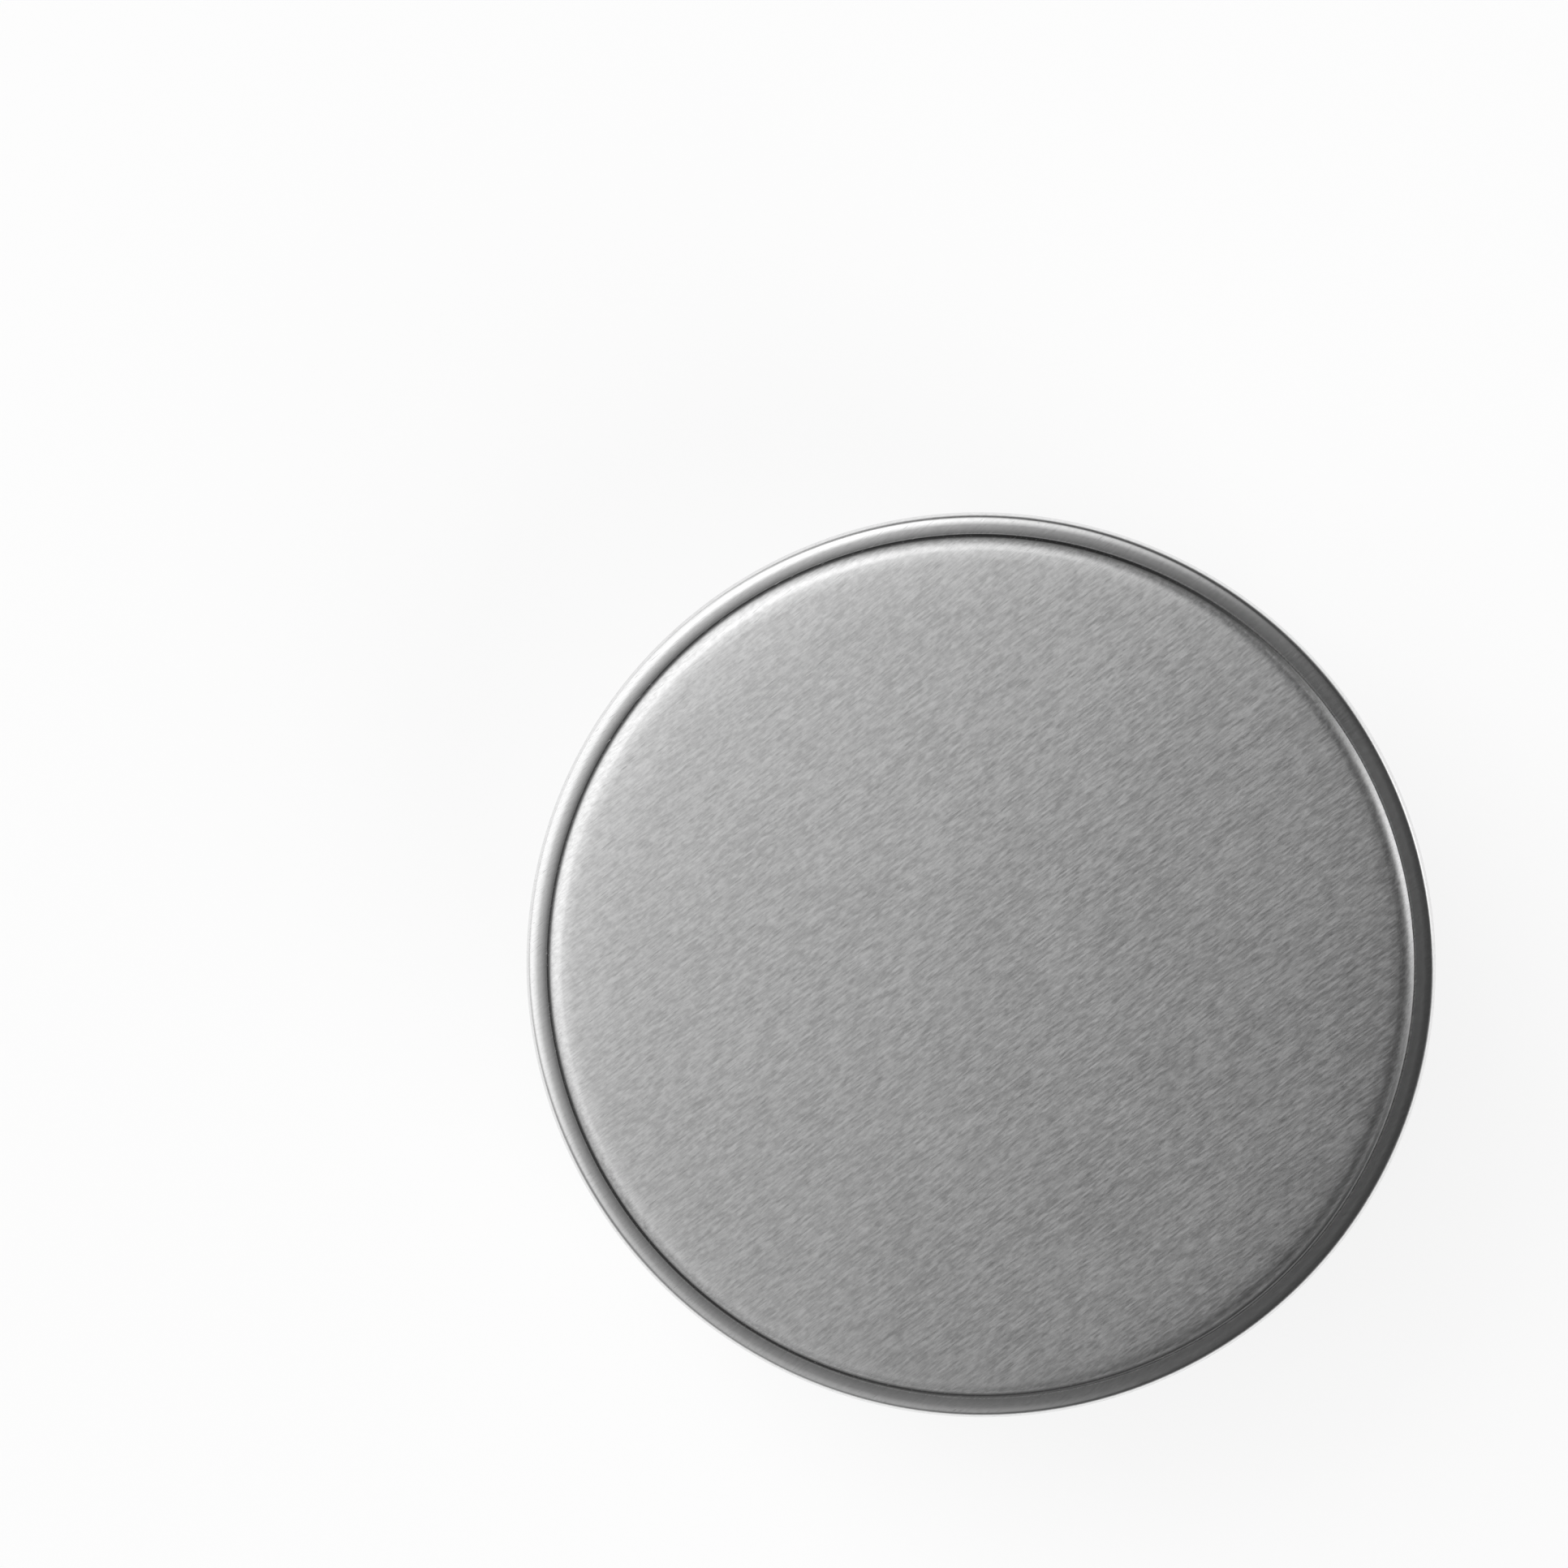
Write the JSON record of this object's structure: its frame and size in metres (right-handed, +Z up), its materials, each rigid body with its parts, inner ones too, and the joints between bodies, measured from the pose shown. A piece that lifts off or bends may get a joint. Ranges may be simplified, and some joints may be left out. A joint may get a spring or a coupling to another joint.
{
  "type": "mint tin",
  "caption": "Round shallow tinplate tin with a slip-on lid that lifts straight off, a raised panel inside a rounded rim, rolled edges and loose disc mints inside.",
  "frame": {"origin": "centre of the ring that the tin stands on, at its lowest level", "axes": "+Z up along the axis of the tin, the way the lid lifts; X and Y lie in the plane it stands on"},
  "size_m": [0.0616, 0.0616, 0.0195],
  "materials": {
    "tinplate": "bare tinplate with a fine satin grain",
    "mint": "matt pressed tablet, very faintly speckled"
  },
  "bodies": {
    "base": {"tin_base": "tinplate", "mint_01": "mint", "mint_02": "mint", "mint_03": "mint", "mint_04": "mint", "mint_05": "mint", "mint_06": "mint", "mint_07": "mint", "mint_08": "mint"},
    "lid": {"tin_lid": "tinplate"}
  },
  "joints": [
    {"name": "lid_lift", "type": "slide", "parent": "base", "child": "lid", "axis": [0, 0, 1], "range_m": [0, 0.025]}
  ]
}
